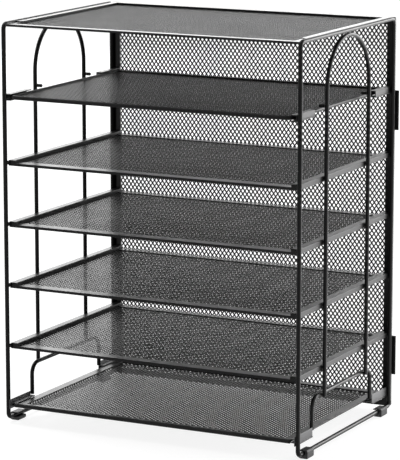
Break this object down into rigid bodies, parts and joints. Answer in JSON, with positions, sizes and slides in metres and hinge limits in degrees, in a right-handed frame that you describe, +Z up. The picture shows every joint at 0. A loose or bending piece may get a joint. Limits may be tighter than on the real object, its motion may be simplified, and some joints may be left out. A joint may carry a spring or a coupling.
{
  "type": "desk file organizer",
  "caption": "Upright desk file organizer of black wire and steel mesh, open at the front, with fixed mesh shelves, sliding mesh trays above and below them, and clip-on feet.",
  "frame": {"origin": "middle of the base, on the plane on which the four feet stand", "axes": "+Z up, +X to the right when seen from the front, -Y towards the front opening"},
  "size_m": [0.3402, 0.2346, 0.4162],
  "materials": {
    "coated_steel": "satin",
    "mesh": "satin",
    "feet": "matte"
  },
  "bodies": {
    "frame": {"side_frame_left": "coated_steel", "arch_left": "coated_steel", "side_guard_left": "coated_steel", "upper_guide_front_left": "coated_steel", "upper_guide_rear_left": "coated_steel", "lower_guide_front_left": "coated_steel", "lower_guide_rear_left": "coated_steel", "foot_front_left": "feet", "foot_rear_left": "feet", "side_frame_right": "coated_steel", "arch_right": "coated_steel", "side_guard_right": "coated_steel", "upper_guide_front_right": "coated_steel", "upper_guide_rear_right": "coated_steel", "lower_guide_front_right": "coated_steel", "lower_guide_rear_right": "coated_steel", "foot_front_right": "feet", "foot_rear_right": "feet", "top_panel_border": "coated_steel", "top_panel_mesh": "mesh", "back_panel_border": "coated_steel", "back_panel_mesh": "mesh", "back_panel_ears": "coated_steel", "retaining_pegs": "coated_steel", "shelf_1_border": "coated_steel", "shelf_1_mesh": "mesh", "shelf_2_border": "coated_steel", "shelf_2_mesh": "mesh", "shelf_3_border": "coated_steel", "shelf_3_mesh": "mesh", "shelf_4_border": "coated_steel", "shelf_4_mesh": "mesh"},
    "upper_tray": {"upper_tray_rim": "coated_steel", "upper_tray_mesh": "mesh"},
    "lower_tray": {"lower_tray_border": "coated_steel", "lower_tray_mesh": "mesh"}
  },
  "joints": [
    {"name": "upper_tray_slide", "type": "slide", "parent": "frame", "child": "upper_tray", "axis": [0, -1, 0], "range_m": [0, 0.16]},
    {"name": "lower_tray_slide", "type": "slide", "parent": "frame", "child": "lower_tray", "axis": [0, -1, 0], "range_m": [0, 0.16]}
  ]
}
